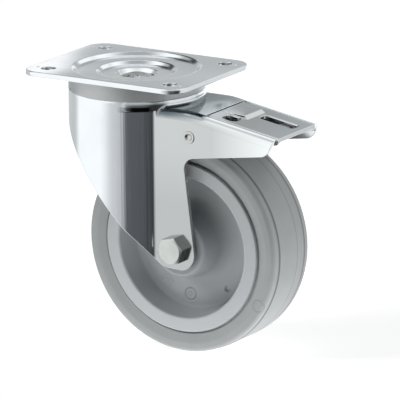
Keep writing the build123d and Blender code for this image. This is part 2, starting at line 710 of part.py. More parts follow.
def make_pivot_spacers():
    """Rings between the pedal's ears and the cheeks."""
    hole = rod(PIVOT_PIN_R + RUNNING_GAP, -FAR, FAR, PIVOT_X, PIVOT_Z)
    inner, outer = PEDAL_HALF_WIDTH + SEAT_GAP, CHEEK_INNER_Y - SEAT_GAP
    return Compound(children=[
        rod(SPACER_R, side * inner, side * outer, PIVOT_X, PIVOT_Z) - hole for side in (-1, 1)
    ])


def swung(x, z, degrees):
    """A point of the XZ plane turned with the pedal, positive degrees pressing it down."""
    c, s = math.cos(math.radians(degrees)), math.sin(math.radians(degrees))
    dx, dz = x - PIVOT_X, z - PIVOT_Z
    return PIVOT_X + dx * c + dz * s, PIVOT_Z - dx * s + dz * c


def shoe_point(degrees, radius):
    """Point at a radius round the centre that comes to lie on the axle when the pedal is down."""
    centre_x, centre_z = swung(AXLE_X, AXLE_Z, -PRESS_ANGLE)
    turn = math.radians(degrees)
    return centre_x + radius * math.sin(turn), centre_z + radius * math.cos(turn)


def strip(points, width, bend_r):
    """Flat spring strip bent along (x, z) points."""
    path = FilletPolyline(*[(x, 0, z) for x, z in points], radius=bend_r)
    section = Plane(origin=path @ 0, x_dir=(0, 1, 0), z_dir=path % 0) * Rectangle(width, LEAF_SHEET)
    return sweep(section, path)


def make_brake_leaf():
    """Spring leaf under the pedal: tongue in front, seat of the shoe, foot welded to the plate."""
    chord_r = WHEEL_R + SHOE_GAP + SHOE_THICKNESS + LEAF_SHEET / 2
    under_plate = -PEDAL_SHEET - LEAF_SHEET / 2
    foot = [(x - PEDAL_X) / math.cos(math.radians(WING_SLOPE)) for x in LEAF_FOOT_X]
    body = strip([
        (LEAF_FRONT_X, LEAF_HEIGHT),
        (PIVOT_X + PEDAL_EAR_R, LEAF_HEIGHT),
        shoe_point(SHOE_START_ANGLE, chord_r),
        shoe_point(SHOE_END_ANGLE, chord_r),
        on_slope(foot[0], under_plate),
        on_slope(foot[1], under_plate),
    ], LEAF_WIDTH, LEAF_BEND_R)
    tip_x, tip_z = TONGUE_TIP
    tongue = strip([
        (tip_x, tip_z),
        (tip_x, LEAF_HEIGHT),
        (LEAF_FRONT_X + LEAF_SHEET, LEAF_HEIGHT),
    ], TONGUE_WIDTH, LEAF_BEND_R / 2)
    foot_cut = Pos(LEAF_FOOT_X[0], LEAF_FOOT_Y[1], PIVOT_Z) * Box(
        2 * LEAF_BEND_R, LEAF_WIDTH, FAR / 4, align=(Align.MIN, Align.MIN, Align.CENTER)
    )
    return body + tongue - foot_cut


def make_brake_shoe():
    """Curved shoe on the leaf's underside. It meets the tread with the pedal down."""
    inner_r = WHEEL_R + SHOE_GAP
    middle = (SHOE_START_ANGLE + SHOE_END_ANGLE) / 2
    half_span = math.radians(SHOE_END_ANGLE - SHOE_START_ANGLE) / 2
    seat_distance = (inner_r + SHOE_THICKNESS + LEAF_SHEET / 2) * math.cos(half_span) - LEAF_SHEET / 2
    first = SHOE_START_ANGLE + SHOE_TRIM_ANGLES[0]
    last = SHOE_END_ANGLE - SHOE_TRIM_ANGLES[1]

    def seat(degrees):
        return shoe_point(degrees, seat_distance / math.cos(math.radians(degrees - middle)))

    def point(place):
        return (place[0], 0, place[1])

    face = make_face([
        ThreePointArc(*[point(shoe_point(d, inner_r)) for d in (first, (first + last) / 2, last)]),
        Line(point(shoe_point(last, inner_r)), point(seat(last))),
        Line(point(seat(last)), point(seat(first))),
        Line(point(seat(first)), point(shoe_point(first, inner_r))),
    ])
    return extrude(face, amount=SHOE_WIDTH / 2, dir=(0, 1, 0), both=True)


PARTS = {
    "top_plate": make_top_plate,
    "kingpin": make_kingpin,
    "lower_race": make_lower_race,
    "lock_ring": make_lock_ring,
    "fork": make_fork,
    "dust_ring": make_dust_ring,
    "upper_balls": make_upper_balls,
    "lower_balls": make_lower_balls,
    "axle_bolt": make_axle_bolt,
    "axle_washer": make_axle_washer,
    "axle_nut": make_axle_nut,
    "axle_sleeve": make_axle_sleeve,
    "tyre": make_tyre,
    "wheel_rim": make_wheel_rim,
    "roller_cage": make_roller_cage,
    "rollers": make_rollers,
    "bearing_cover_near": lambda: make_bearing_cover(-1),
    "bearing_cover_far": lambda: make_bearing_cover(1),
    "brake_pedal": make_brake_pedal,
    "pedal_pin": make_pedal_pin,
    "pivot_spacers": make_pivot_spacers,
    "brake_leaf": make_brake_leaf,
    "brake_shoe": make_brake_shoe,
}

os.makedirs("parts", exist_ok=True)
for name, make in PARTS.items():
    part = make()
    print(name, len(part.solids()), round(part.volume), part.bounding_box())
    export_step(part, f"parts/{name}.step")
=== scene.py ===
# %% [markdown]
# # A swivel castor with a foot pedal
# The castor is pressed from zinc-plated steel sheet and runs on a grey wheel with a rubber tyre.
# Its pieces come ready made and fixed in place, in metres, so this file only gives them their
# finishes, a small studio and a camera. Zinc plating is nearly a mirror. What it shows is
# mostly the room, so the room is built as carefully as the materials.

# %% Load the castor
import math

import bpy
from mathutils import Matrix, Vector


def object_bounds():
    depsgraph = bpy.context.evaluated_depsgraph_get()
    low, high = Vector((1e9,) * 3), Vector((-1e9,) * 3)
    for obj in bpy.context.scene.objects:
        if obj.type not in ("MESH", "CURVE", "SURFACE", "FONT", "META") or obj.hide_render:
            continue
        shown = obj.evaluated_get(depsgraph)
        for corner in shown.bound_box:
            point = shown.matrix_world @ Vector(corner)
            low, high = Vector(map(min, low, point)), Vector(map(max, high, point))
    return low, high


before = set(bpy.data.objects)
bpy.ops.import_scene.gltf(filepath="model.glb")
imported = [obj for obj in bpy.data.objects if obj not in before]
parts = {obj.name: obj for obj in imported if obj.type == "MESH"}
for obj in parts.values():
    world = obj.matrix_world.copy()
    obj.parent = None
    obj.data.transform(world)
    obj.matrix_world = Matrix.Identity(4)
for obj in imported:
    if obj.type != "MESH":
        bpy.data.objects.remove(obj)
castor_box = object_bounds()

LOWEST = castor_box[0].z
print("pieces:", len(parts), "lowest point:", round(LOWEST, 4))

# %% [markdown]
# ## The camera
# The photograph was taken from far away with a long lens, so parallel edges stay nearly parallel.
# A camera can be set by two angles round a point that it aims at. Writing its three axes out
# as vectors avoids guessing at rotation orders, and allows the slight roll of a hand-held shot.

# %% Camera
CAMERA_AROUND = 31.672        # degrees from the front, towards +X
CAMERA_ABOVE = 14.572         # degrees above the horizon
CAMERA_ROLL = -0.447
CAMERA_DISTANCE = 4.00012
CAMERA_AIM = Vector((0.053772, 0.0, -0.094964))
PICTURE_SIDE = 400
FOCAL_PIXELS = 5441.875
SENSOR_WIDTH = 36.0
FARTHEST_SEEN = 5             # times the camera's distance


def place_camera():
    around, above, roll = map(math.radians, (CAMERA_AROUND, CAMERA_ABOVE, CAMERA_ROLL))
    back = Vector((
        math.sin(around) * math.cos(above),
        -math.cos(around) * math.cos(above),
        math.sin(above),
    ))
    level = Vector((math.cos(around), math.sin(around), 0))
    upright = back.cross(level)
    right = level * math.cos(roll) + upright * math.sin(roll)
    up = upright * math.cos(roll) - level * math.sin(roll)
    lens = bpy.data.cameras.new("studio_camera")
    lens.sensor_width = SENSOR_WIDTH
    lens.lens = FOCAL_PIXELS * SENSOR_WIDTH / PICTURE_SIDE
    lens.clip_end = CAMERA_DISTANCE * FARTHEST_SEEN
    camera = bpy.data.objects.new("studio_camera", lens)
    camera.matrix_world = Matrix.Translation(CAMERA_AIM + back * CAMERA_DISTANCE) @ Matrix(
        (right, up, back)
    ).transposed().to_4x4()
    bpy.context.scene.collection.objects.link(camera)
    bpy.context.scene.camera = camera
    return camera


camera = place_camera()
bpy.context.scene.view_settings.view_transform = "Standard"
print("lens:", round(camera.data.lens, 1), "mm")

# %% [markdown]
# ## Making nodes short to write
# Every finish and the studio itself are node trees. A few small helpers keep them readable. The
# first makes a node and fills its inputs: a value is typed into an input, and a socket is linked
# to it. The next two do a sum and blend two colours. Others follow where they are first needed.

# %% Node helpers


def put(tree, kind, inputs=None, **settings):
    """A new node. Inputs are given by name or number, as values or as sockets to link."""
    made = tree.nodes.new(kind)
    for name, value in settings.items():
        setattr(made, name, value)
    for name, value in (inputs or {}).items():
        if isinstance(value, bpy.types.NodeSocket):
            tree.links.new(value, made.inputs[name])
        else:
            made.inputs[name].default_value = value
    return made


def sums(tree, operation, *values):
    """The result of a Math node."""
    return put(tree, "ShaderNodeMath", dict(enumerate(values)), operation=operation).outputs[0]


def blend_colours(tree, share, first, second):
    """First colour where share is 0, second where it is 1."""
    mix = put(tree, "ShaderNodeMix", {0: share, 6: first, 7: second}, data_type="RGBA")
    return mix.outputs[2]


# %% [markdown]
# An effect that several trees use is a node group. It is made once, with named inputs and
# outputs, and then placed in each tree with values of its own.

# %% Group helpers


def start_group(name, inputs, outputs):
    """A node group with float or vector inputs and outputs. Returns it with its two end nodes."""
    group = bpy.data.node_groups.new(name, "ShaderNodeTree")
    for label, default in inputs.items():
        kind = "NodeSocketVector" if isinstance(default, tuple) else "NodeSocketFloat"
        group.interface.new_socket(label, in_out="INPUT", socket_type=kind).default_value = default
    for label, kind in outputs.items():
        group.interface.new_socket(label, in_out="OUTPUT", socket_type=f"NodeSocket{kind}")
    first = group.nodes.new("NodeGroupInput")
    last = group.nodes.new("NodeGroupOutput")
    return group, first.outputs, last.inputs


def use(tree, group, **inputs):
    """The group placed in a tree. Underscores in an input's name stand for spaces."""
    made = tree.nodes.new("ShaderNodeGroup")
    made.node_tree = group
    for name, value in inputs.items():
        socket = made.inputs[name.replace("_", " ")]
        if isinstance(value, bpy.types.NodeSocket):
            tree.links.new(value, socket)
        else:
            socket.default_value = value
    return made.outputs


# %% [markdown]
# ## The room that the metal reflects
# In the photograph the round front of the fork is nearly white, the flat panel beside it is
# nearly black, and the cheek is light grey. All three are the same sheet. Each faces another
# part of the studio. So the background is a panorama of large cards, each placed by its
# direction, with soft borders. Only reflections see the panorama. The camera sees plain
# white, and dull surfaces get an even light, so that colours come out about as written.

# %% Studio card
HALF_TURN = 180.0


def ramp(tree, value, start, end, low=0.0, high=1.0, kind="LINEAR"):
    """A value stretched from start-end to low-high, and held there beyond both ends."""
    inputs = {0: value, 1: start, 2: end, 3: low, 4: high}
    return put(tree, "ShaderNodeMapRange", inputs, interpolation_type=kind).outputs[0]


studio_card, card_in, card_out = start_group(
    "studio card",
    {"Around": 0.0, "Above": 0.0, "Middle around": 0.0, "Middle above": 0.0,
     "Half width": 10.0, "Half height": 10.0, "Border": 5.0},
    {"Mask": "Float"},
)


def card_side(angle, middle, half, border):
    """1 inside the card, falling to 0 across its border, in one direction."""
    away = sums(studio_card, "SUBTRACT", angle, middle)
    away = sums(studio_card, "WRAP", away, HALF_TURN, -HALF_TURN)
    away = sums(studio_card, "ABSOLUTE", away)
    edge = sums(studio_card, "ADD", half, border)
    return ramp(studio_card, away, half, edge, 1.0, 0.0, "SMOOTHSTEP")


border = card_in["Border"]
wide = card_side(card_in["Around"], card_in["Middle around"], card_in["Half width"], border)
high = card_side(card_in["Above"], card_in["Middle above"], card_in["Half height"], border)
studio_card.links.new(sums(studio_card, "MULTIPLY", wide, high), card_out["Mask"])
print("group:", studio_card.name)

# %% [markdown]
# The cards are laid over a plain grey room one after another, so a later card covers an earlier
# one. Their list reads like a plan of the room, in degrees: first how far round a card's middle
# is from the front, towards +X, and then how far above the horizon.

# %% Studio background
ROOM_GREY = (0.55, 0.57, 0.58, 1)
# (what it is, middle around, middle above, half width, half height, border, colour)
CARDS = [
    ("left back wall", -115, -15, 20, 25, 10, (0.68, 0.70, 0.71, 1)),
    ("left wall", -48, -10, 32, 60, 18, (1.28, 1.3, 1.3, 1)),
    ("front falls off", 10, -48, 17, 42, 27, (0.76, 0.78, 0.79, 1)),
    ("dark doorway", 48, -40, 22, 24, 34, (0.11, 0.117, 0.125, 1)),
    ("depth of the doorway", 64, -40, 8, 27, 14, (0.045, 0.048, 0.052, 1)),
    ("dark floor", 55, -75, 40, 45, 14, (0.02, 0.02, 0.022, 1)),
    ("right wall", 118, -5, 28, 50, 15, (0.95, 0.96, 0.97, 1)),
    ("pale floor behind", -172, -40, 28, 46, 6, (1.25, 1.26, 1.27, 1)),
    ("dim ceiling corner", -128, 38, 17, 14, 8, (0.07, 0.075, 0.08, 1)),
    ("ceiling lamp behind", 174, 36, 10, 9, 7, (1.25, 1.26, 1.26, 1)),
    ("overhead light", 0, 90, 180, 36, 14, (1.35, 1.36, 1.36, 1)),
    ("gap between ceiling lamps", 0, 90, 180, 8, 24, (0.5, 0.52, 0.53, 1)),
]
EVEN_LIGHT = (0.05, 0.052, 0.055, 1)
WHITE = (1, 1, 1, 1)


def split(tree, place):
    """X, Y and Z of a place."""
    return put(tree, "ShaderNodeSeparateXYZ", {0: place}).outputs


def build_studio():
    world = bpy.data.worlds.new("studio")
    bpy.context.scene.world = world
    world.use_nodes = True
    tree = world.node_tree
    tree.nodes.clear()
    axes = split(tree, put(tree, "ShaderNodeTexCoord").outputs["Generated"])
    towards = sums(tree, "MULTIPLY", axes["Y"], -1.0)
    around = sums(tree, "DEGREES", sums(tree, "ARCTAN2", axes["X"], towards))
    above = sums(tree, "DEGREES", sums(tree, "ARCSINE", axes["Z"]))
    room = ROOM_GREY
    for _, card_around, card_above, half_width, half_height, border, colour in CARDS:
        mask = use(tree, studio_card, Around=around, Above=above, Middle_around=card_around,
                   Middle_above=card_above, Half_width=half_width, Half_height=half_height,
                   Border=border)["Mask"]
        room = blend_colours(tree, mask, room, colour)
    seen = put(tree, "ShaderNodeLightPath").outputs
    colour = blend_colours(tree, seen["Is Glossy Ray"], EVEN_LIGHT, room)
    colour = blend_colours(tree, seen["Is Camera Ray"], colour, WHITE)
    background = put(tree, "ShaderNodeBackground", {"Color": colour, "Strength": 1.0})
    put(tree, "ShaderNodeOutputWorld", {"Surface": background.outputs[0]})


build_studio()
print("cards in the studio:", len(CARDS))

# %% [markdown]
# ## Floor and lamps
# The floor is white paper. It gets a little light of its own, for the camera only, so that it
# runs into the white background without an edge, while the wheel's shadow still shows on it.
# In a real studio the lit paper also throws light up at what stands on it. So dull surfaces see
# a bright pool round the wheel's foot, which makes its lower parts the lightest. Seen from
# below, the floor lets the light through. Reflections don't see it, because the panorama
# already holds a floor.

# %% Floor
FLOOR_SIDE = 8.0
FLOOR_WHITE = (0.82, 0.82, 0.82, 1)
FLOOR_OWN_LIGHT = 0.63
POOL_MIDDLE = (0.05, -0.1, LOWEST)
POOL_REACH = (0.08, 0.42)     # full light inside the first radius, none outside the second
POOL_LIGHT = 1.7


def measure(tree, operation, *values):
    """The number from a Vector Math node, such as a length or a distance."""
    made = put(tree, "ShaderNodeVectorMath", dict(enumerate(values)), operation=operation)
    return made.outputs["Value"]


def floor_paper():
    paper = bpy.data.materials.new("floor paper")
    paper.use_nodes = True
    tree = paper.node_tree
    tree.nodes.clear()
    matt = put(tree, "ShaderNodeBsdfDiffuse", {"Color": FLOOR_WHITE}).outputs[0]
    seen = put(tree, "ShaderNodeLightPath").outputs
    own = sums(tree, "MULTIPLY", seen["Is Camera Ray"], FLOOR_OWN_LIGHT)
    place = put(tree, "ShaderNodeTexCoord").outputs["Object"]
    away = measure(tree, "DISTANCE", place, POOL_MIDDLE)
    pool = ramp(tree, away, *POOL_REACH, POOL_LIGHT, 0.0, "SMOOTHSTEP")
    own = sums(tree, "ADD", own, sums(tree, "MULTIPLY", seen["Is Diffuse Ray"], pool))
    glow = put(tree, "ShaderNodeEmission", {"Color": WHITE, "Strength": own}).outputs[0]
    upper = put(tree, "ShaderNodeAddShader", {0: matt, 1: glow}).outputs[0]
    under = put(tree, "ShaderNodeBsdfTransparent").outputs[0]
    from_below = put(tree, "ShaderNodeNewGeometry").outputs["Backfacing"]
    surface = put(tree, "ShaderNodeMixShader", {0: from_below, 1: upper, 2: under}).outputs[0]
    put(tree, "ShaderNodeOutputMaterial", {"Surface": surface})
    return paper


def build_floor():
    half = FLOOR_SIDE / 2
    corners = [(x * half, y * half, LOWEST) for x, y in ((-1, -1), (1, -1), (1, 1), (-1, 1))]
    mesh = bpy.data.meshes.new("studio_floor")
    mesh.from_pydata(corners, [], [(0, 1, 2, 3)])
    mesh.materials.append(floor_paper())
    floor = bpy.data.objects.new("studio_floor", mesh)
    bpy.context.scene.collection.objects.link(floor)
    floor.visible_glossy = False


build_floor()
print("floor at", round(LOWEST, 4))

# %% [markdown]
# The lamps light the dull pieces only. Reflections don't see them, because the cards stand for
# them there. A disk about a metre wide gives soft shadows, and each is turned to face the castor.

# %% Lamps
# (name, place, size in metres, power in watts)
LAMPS = [
    ("key_lamp", (-1.2, -1.0, 1.2), 0.9, 18.0),
    ("side_lamp", (2.4, 0.5, 0.2), 1.4, 38.0),
    ("back_lamp", (0.4, 2.0, 1.6), 1.6, 20.0),
]


def hang_lamp(name, place, size, power):
    light = bpy.data.lights.new(name, "AREA")
    light.shape = "DISK"
    light.size = size
    light.energy = power
    lamp = bpy.data.objects.new(name, light)
    lamp.location = place
    lamp.rotation_euler = (CAMERA_AIM - Vector(place)).to_track_quat("-Z", "Y").to_euler()
    lamp.visible_glossy = False
    bpy.context.scene.collection.objects.link(lamp)


for lamp in LAMPS:
    hang_lamp(*lamp)
print("lamps:", len(LAMPS))

# %% [markdown]
# ## Shared effects
# Several finishes need the same small effects, so each effect is a node group.
#
# A pressed or moulded edge is never knife sharp. The Bevel node bends the shading
# within a small radius of each edge, without touching the mesh. Where it differs from the
# true surface there is an edge, and that makes a mask for wear too.

# %% Soft edges
soft_edges, edges_in, edges_out = start_group(
    "soft edges", {"Radius": 0.0004, "Reach": 6.0, "Least": 0.03}, {"Normal": "Vector", "Edge": "Float"}
)
bevel = put(soft_edges, "ShaderNodeBevel", {"Radius": edges_in["Radius"]}, samples=6)
true_normal = put(soft_edges, "ShaderNodeNewGeometry").outputs["Normal"]
alike = measure(soft_edges, "DOT_PRODUCT", bevel.outputs[0], true_normal)
unlike = sums(soft_edges, "SUBTRACT", sums(soft_edges, "SUBTRACT", 1.0, alike), edges_in["Least"])
edge_mask = put(soft_edges, "ShaderNodeMath", {0: unlike, 1: edges_in["Reach"]},
                operation="MULTIPLY", use_clamp=True).outputs[0]
soft_edges.links.new(bevel.outputs[0], edges_out["Normal"])
soft_edges.links.new(edge_mask, edges_out["Edge"])
print("group:", soft_edges.name)

# %% [markdown]
# Fine grain is the tiny texture that a spark-eroded mould leaves on plastic and rubber, or a
# forging die on a bolt. Two sizes of noise together look less regular than one.

# %% Fine grain
LARGER_GRAINS = 0.3           # how many large grains there are in a row of small ones


def noise(tree, place, scale, detail=2.0, roughness=0.5):
    """Cloudy noise, from 0 to 1."""
    inputs = {"Vector": place, "Scale": scale, "Detail": detail, "Roughness": roughness}
    return put(tree, "ShaderNodeTexNoise", inputs).outputs[0]


fine_grain, grain_in, grain_out = start_group(
    "fine grain", {"Place": (0.0, 0.0, 0.0), "Grains per metre": 1500.0}, {"Height": "Float"}
)
small = noise(fine_grain, grain_in["Place"], grain_in["Grains per metre"], detail=1.0)
fewer = sums(fine_grain, "MULTIPLY", grain_in["Grains per metre"], LARGER_GRAINS)
larger = noise(fine_grain, grain_in["Place"], fewer)
fine_grain.links.new(sums(fine_grain, "ADD", small, larger), grain_out["Height"])
print("group:", fine_grain.name)

# %% [markdown]
# Stretched streaks do for rolled sheet, drawn metal and wiped dirt. The noise is squeezed across
# the streak and pulled out along it.

# %% Streaks


def vectors(tree, operation, *values):
    """The vector from a Vector Math node."""
    made = put(tree, "ShaderNodeVectorMath", dict(enumerate(values)), operation=operation)
    return made.outputs["Vector"]


streaks, streak_in, streak_out = start_group(
    "streaks", {"Place": (0.0, 0.0, 0.0), "Stretch": (600.0, 600.0, 12.0)}, {"Mask": "Float"}
)
stretched = vectors(streaks, "MULTIPLY", streak_in["Place"], streak_in["Stretch"])
streaks.links.new(noise(streaks, stretched, 1.0, detail=3.0, roughness=0.6), streak_out["Mask"])
print("group:", streaks.name)

# %% [markdown]
# Plating and rubber both have a faint cloudiness, a few millimetres to a few centimetres across,
# from the bath or from handling. The same group serves both, at another size and strength.

# %% Clouds
clouds, cloud_in, cloud_out = start_group(
    "clouds", {"Place": (0.0, 0.0, 0.0), "Clouds per metre": 40.0, "Contrast": 1.0}, {"Mask": "Float"}
)
cloud = noise(clouds, cloud_in["Place"], cloud_in["Clouds per metre"], detail=4.0, roughness=0.55)
cloud = sums(clouds, "MULTIPLY", sums(clouds, "SUBTRACT", cloud, 0.5), cloud_in["Contrast"])
cloud = put(clouds, "ShaderNodeMath", {0: cloud, 1: 0.5}, operation="ADD", use_clamp=True).outputs[0]
clouds.links.new(cloud, cloud_out["Mask"])
print("group:", clouds.name)

# %% [markdown]
# Moulds leave lines and round marks: a parting line round a tyre, the ends of ejector pins, a
# small dimple. Dirt leaves bands too. One group makes a soft band wherever a value is near a
# chosen middle, and a second uses it for rings, with the distance from a point as the value.

# %% Bands and rings
soft_band, band_in, band_out = start_group(
    "soft band", {"Value": 0.0, "Middle": 0.0, "Half width": 0.001}, {"Mask": "Float"}
)
from_middle = sums(soft_band, "SUBTRACT", band_in["Value"], band_in["Middle"])
band_share = sums(soft_band, "DIVIDE", sums(soft_band, "ABSOLUTE", from_middle), band_in["Half width"])
band_mask = ramp(soft_band, band_share, 0.0, 1.0, 1.0, 0.0, "SMOOTHSTEP")
soft_band.links.new(band_mask, band_out["Mask"])

round_mark, mark_in, mark_out = start_group(
    "round mark", {"Place": (0.0, 0.0, 0.0), "Centre": (0.0, 0.0, 0.0), "Radius": 0.005,
                   "Half width": 0.001}, {"Mask": "Float"}
)
mark_away = measure(round_mark, "DISTANCE", mark_in["Place"], mark_in["Centre"])
mark_ring = use(round_mark, soft_band, Value=mark_away, Middle=mark_in["Radius"],
                Half_width=mark_in["Half width"])["Mask"]
round_mark.links.new(mark_ring, mark_out["Mask"])
print("groups:", soft_band.name, "and", round_mark.name)

# %% [markdown]
# ## Starting a finish
# Each finish is one Principled shader. The shader and the place on the surface are the same in
# all of them, so one function starts a finish and the rest is written out for each.

# %% Finish helper


def start_finish(name, **plain):
    """A material with a Principled shader. Returns it with its tree, shader and place."""
    material = bpy.data.materials.new(name)
    material.use_nodes = True
    tree = material.node_tree
    tree.nodes.clear()
    shader = put(tree, "ShaderNodeBsdfPrincipled")
    for label, value in plain.items():
        shader.inputs[label.replace("_", " ")].default_value = value
    put(tree, "ShaderNodeOutputMaterial", {"Surface": shader.outputs[0]})
    place = put(tree, "ShaderNodeTexCoord").outputs["Object"]
    return material, tree, shader, place


def feed(tree, shader, **sockets):
    """Links sockets to the shader's inputs."""
    for label, socket in sockets.items():
        tree.links.new(socket, shader.inputs[label.replace("_", " ")])


def roughen(tree, height, depth, normal, strength=1.0):
    """A normal that follows a height map, depth metres deep."""
    inputs = {"Strength": strength, "Distance": depth, "Height": height, "Normal": normal}
    return put(tree, "ShaderNodeBump", inputs).outputs[0]


# %% [markdown]
# ## Bright zinc on pressed sheet
# The plate, the fork and the pedal are steel sheet, plated with bright zinc after pressing.
# It mirrors the room almost sharply, with a faint blue, slight clouds, and the fine lines
# of the rolling mill. The surface is never quite flat either, so a very low wave bends
# the reflections a little. Worn edges are a touch brighter.

# %% Zinc sheet
ZINC = (0.76, 0.785, 0.80, 1)
ZINC_CLOUD = (0.68, 0.71, 0.73, 1)
ZINC_WORN = (0.86, 0.87, 0.87, 1)
ZINC_CLOUDS = (35.0, 1.4)        # how many per metre, and their contrast
CLOUD_ROUGHNESS = (0.07, 0.14)
LINE_ROUGHNESS = (0.0, 0.08)
SHEET_EDGE = 0.0006
PLATE_EDGE = 0.0011
SHEET_WAVE = (45.0, 0.00004)     # how many per metre, and how deep
PLATE_WAVE = (14.0, 0.0011)
LINE_DEPTH = 0.000012
EDGE_REACH = 5.0


def spread(tree, value, low, high):
    """A value from 0 to 1, stretched to run from low to high."""
    return ramp(tree, value, 0.0, 1.0, low, high)


def zinc_sheet(name, line_stretch, edge=SHEET_EDGE, wave=SHEET_WAVE, tones=None, bend=None):
    """Zinc on sheet. Tones adds colours at places of its own, and bend a height of its own."""
    waves_per_metre, wave_depth = wave
    clouds_per_metre, contrast = ZINC_CLOUDS
    material, tree, shader, place = start_finish(name, Metallic=1.0)
    edges = use(tree, soft_edges, Radius=edge, Reach=EDGE_REACH)
    cloud = use(tree, clouds, Place=place, Clouds_per_metre=clouds_per_metre, Contrast=contrast)["Mask"]
    lines = use(tree, streaks, Place=place, Stretch=line_stretch)["Mask"]
    colour = blend_colours(tree, cloud, ZINC, ZINC_CLOUD)
    if tones:
        colour = tones(tree, place, colour)
    colour = blend_colours(tree, edges["Edge"], colour, ZINC_WORN)
    rough = sums(tree, "ADD", spread(tree, cloud, *CLOUD_ROUGHNESS), spread(tree, lines, *LINE_ROUGHNESS))
    low_wave = noise(tree, place, waves_per_metre, detail=0.0)
    normal = roughen(tree, low_wave, wave_depth, edges["Normal"])
    if bend:
        height, where = bend(tree, place, lines)
        normal = roughen(tree, height, 1.0, normal, where)
    normal = roughen(tree, lines, LINE_DEPTH, normal)
    feed(tree, shader, Base_Color=colour, Roughness=rough, Normal=normal)
    return material


# %% [markdown]
# The fork isn't the same all over. Painted reflection greys its cheeks, darkens their lower legs further
# and lightens the wings' ends, following how the light falls along them. A painted shade darkens the
# saddle round the head, and a painted black shadow fills the corner below the head's overhang. Each is a
# colour with a mask made from the place on the fork. A place's X, Y or Z, or its distance from the swivel
# axis, is stretched between two ends.

# %% Tones of the fork
# Painted reflection: the cheek grey, the legs' darker grey and the wings' lighter ends follow the light
# along the fork.
CHEEK_GREY = (0.48, 0.495, 0.495, 1)
LEG_PAINTED_SHADE = (0.41, 0.425, 0.425, 1)
WING_PAINTED_REFLECTION = (0.78, 0.80, 0.805, 1)
CHEEK_START_X = (0.034, 0.037)
CHEEK_START_Y = (0.0305, 0.0338)
LEG_Z = (-0.05, -0.09)
WING_END_X = (0.085, 0.136)
# Painted shade round the foot of the head, darkest next to it.
HEAD_PAINTED_SHADE = (0.13, 0.16, 0.18, 1)
HEAD_SHADE_STRENGTH = 0.95
HEAD_SHADE_REACH = (0.058, 0.088)
HEAD_SHADE_START = (0.0506, 0.0515)
HEAD_SHADE_START_Z = (-0.0275, -0.0245)
# Painted black shadow in the corner below the head's overhang.
UNDER_LEDGE_SHADOW = (0.02, 0.021, 0.023, 1)
LEDGE_MIDDLE_Z = -0.0214
LEDGE_HALF = 0.0036
LEDGE_EDGE = (0.25, 0.6)
LEDGE_START_X = (0.013, 0.024)
LEDGE_END_X = (0.0335, 0.036)


def all_of(tree, *masks):
    """The product of several masks."""
    product = masks[0]
    for mask in masks[1:]:
        product = sums(tree, "MULTIPLY", product, mask)
    return product


def fork_painted_light(tree, place, colour):
    x, y, z = split(tree, place)
    outward = ramp(tree, sums(tree, "ABSOLUTE", y), *CHEEK_START_Y)
    on_cheek = all_of(tree, outward, ramp(tree, x, *CHEEK_START_X))
    # Painted reflection on the cheeks, their lower legs and the wings' ends.
    colour = blend_colours(tree, on_cheek, colour, CHEEK_GREY)
    colour = blend_colours(tree, all_of(tree, on_cheek, ramp(tree, z, *LEG_Z)), colour, LEG_PAINTED_SHADE)
    on_wing = all_of(tree, outward, ramp(tree, x, *WING_END_X))
    colour = blend_colours(tree, on_wing, colour, WING_PAINTED_REFLECTION)
    from_axis = measure(tree, "LENGTH", vectors(tree, "MULTIPLY", place, (1.0, 1.0, 0.0)))
    # Painted shade round the head's foot.
    head_shade = all_of(
        tree,
        ramp(tree, from_axis, *HEAD_SHADE_REACH, HEAD_SHADE_STRENGTH, 0.0),
        ramp(tree, z, *HEAD_SHADE_START_Z),
        ramp(tree, from_axis, *HEAD_SHADE_START),
    )
    colour = blend_colours(tree, head_shade, colour, HEAD_PAINTED_SHADE)
    # Painted shadow below the head's overhang.
    ledge = use(tree, soft_band, Value=z, Middle=LEDGE_MIDDLE_Z, Half_width=LEDGE_HALF)["Mask"]
    ledge = all_of(
        tree,
        ramp(tree, ledge, *LEDGE_EDGE),
        ramp(tree, x, *LEDGE_START_X),
        ramp(tree, x, *LEDGE_END_X, 1.0, 0.0),
    )
    return blend_colours(tree, ledge, colour, UNDER_LEDGE_SHADOW)


# Prints how far the painted shade round the head reaches.
print("painted shade round the head: out to", HEAD_SHADE_REACH[1], "m from the swivel axis")

# %% [markdown]
# Shoe soles dull the pedal, most of all in its middle. A soft band across it is enough.

# %% Tones of the pedal
TRODDEN_X = 0.095
TRODDEN_HALF = 0.05
TRODDEN_SHARE = (0.45, 0.9)


def pedal_tones(tree, place, colour):
    along = split(tree, place)["X"]
    trodden = use(tree, soft_band, Value=along, Middle=TRODDEN_X, Half_width=TRODDEN_HALF)["Mask"]
    return blend_colours(tree, spread(tree, trodden, *TRODDEN_SHARE), colour, CHEEK_GREY)


print("pedal dulled most at", TRODDEN_X, "m from the swivel axis")

# %% [markdown]
# Pressed flats aren't flat. Shearing pulls the plate's end down a little, and the fork's panel
# springs back slightly crowned, with draw marks down it. That is too slight to see in an outline,
# but a mirror doubles it, so the shading alone bends here.

# %% Bent flats
BEND_START_X = -0.022
BEND_PER_METRE = 1.8
BEND_CORNER = (-0.8, -0.6, 0.0)       # direction of the corner that bends
BEND_CORNER_START = (0.02, 0.06)
PANEL_FACING = (0.599, -0.801, 0.0)
PANEL_ALONG = (0.801, 0.599, 0.0)
PANEL_AWAY = 0.0485                   # from the swivel axis
PANEL_HALF = 0.0007
CROWN_MIDDLE = -0.0015
CROWN_PER_METRE = 6.5
DRAW_DEPTH = 0.00015


def plate_bend(tree, place, lines):
    """Bend of the plate's corner, and where it is. The plate has no draw marks."""
    along = split(tree, place)["X"]
    past = sums(tree, "MAXIMUM", sums(tree, "SUBTRACT", BEND_START_X, along), 0.0)
    where = ramp(tree, measure(tree, "DOT_PRODUCT", place, BEND_CORNER), *BEND_CORNER_START)
    return sums(tree, "MULTIPLY", sums(tree, "POWER", past, 2.0), -BEND_PER_METRE), where


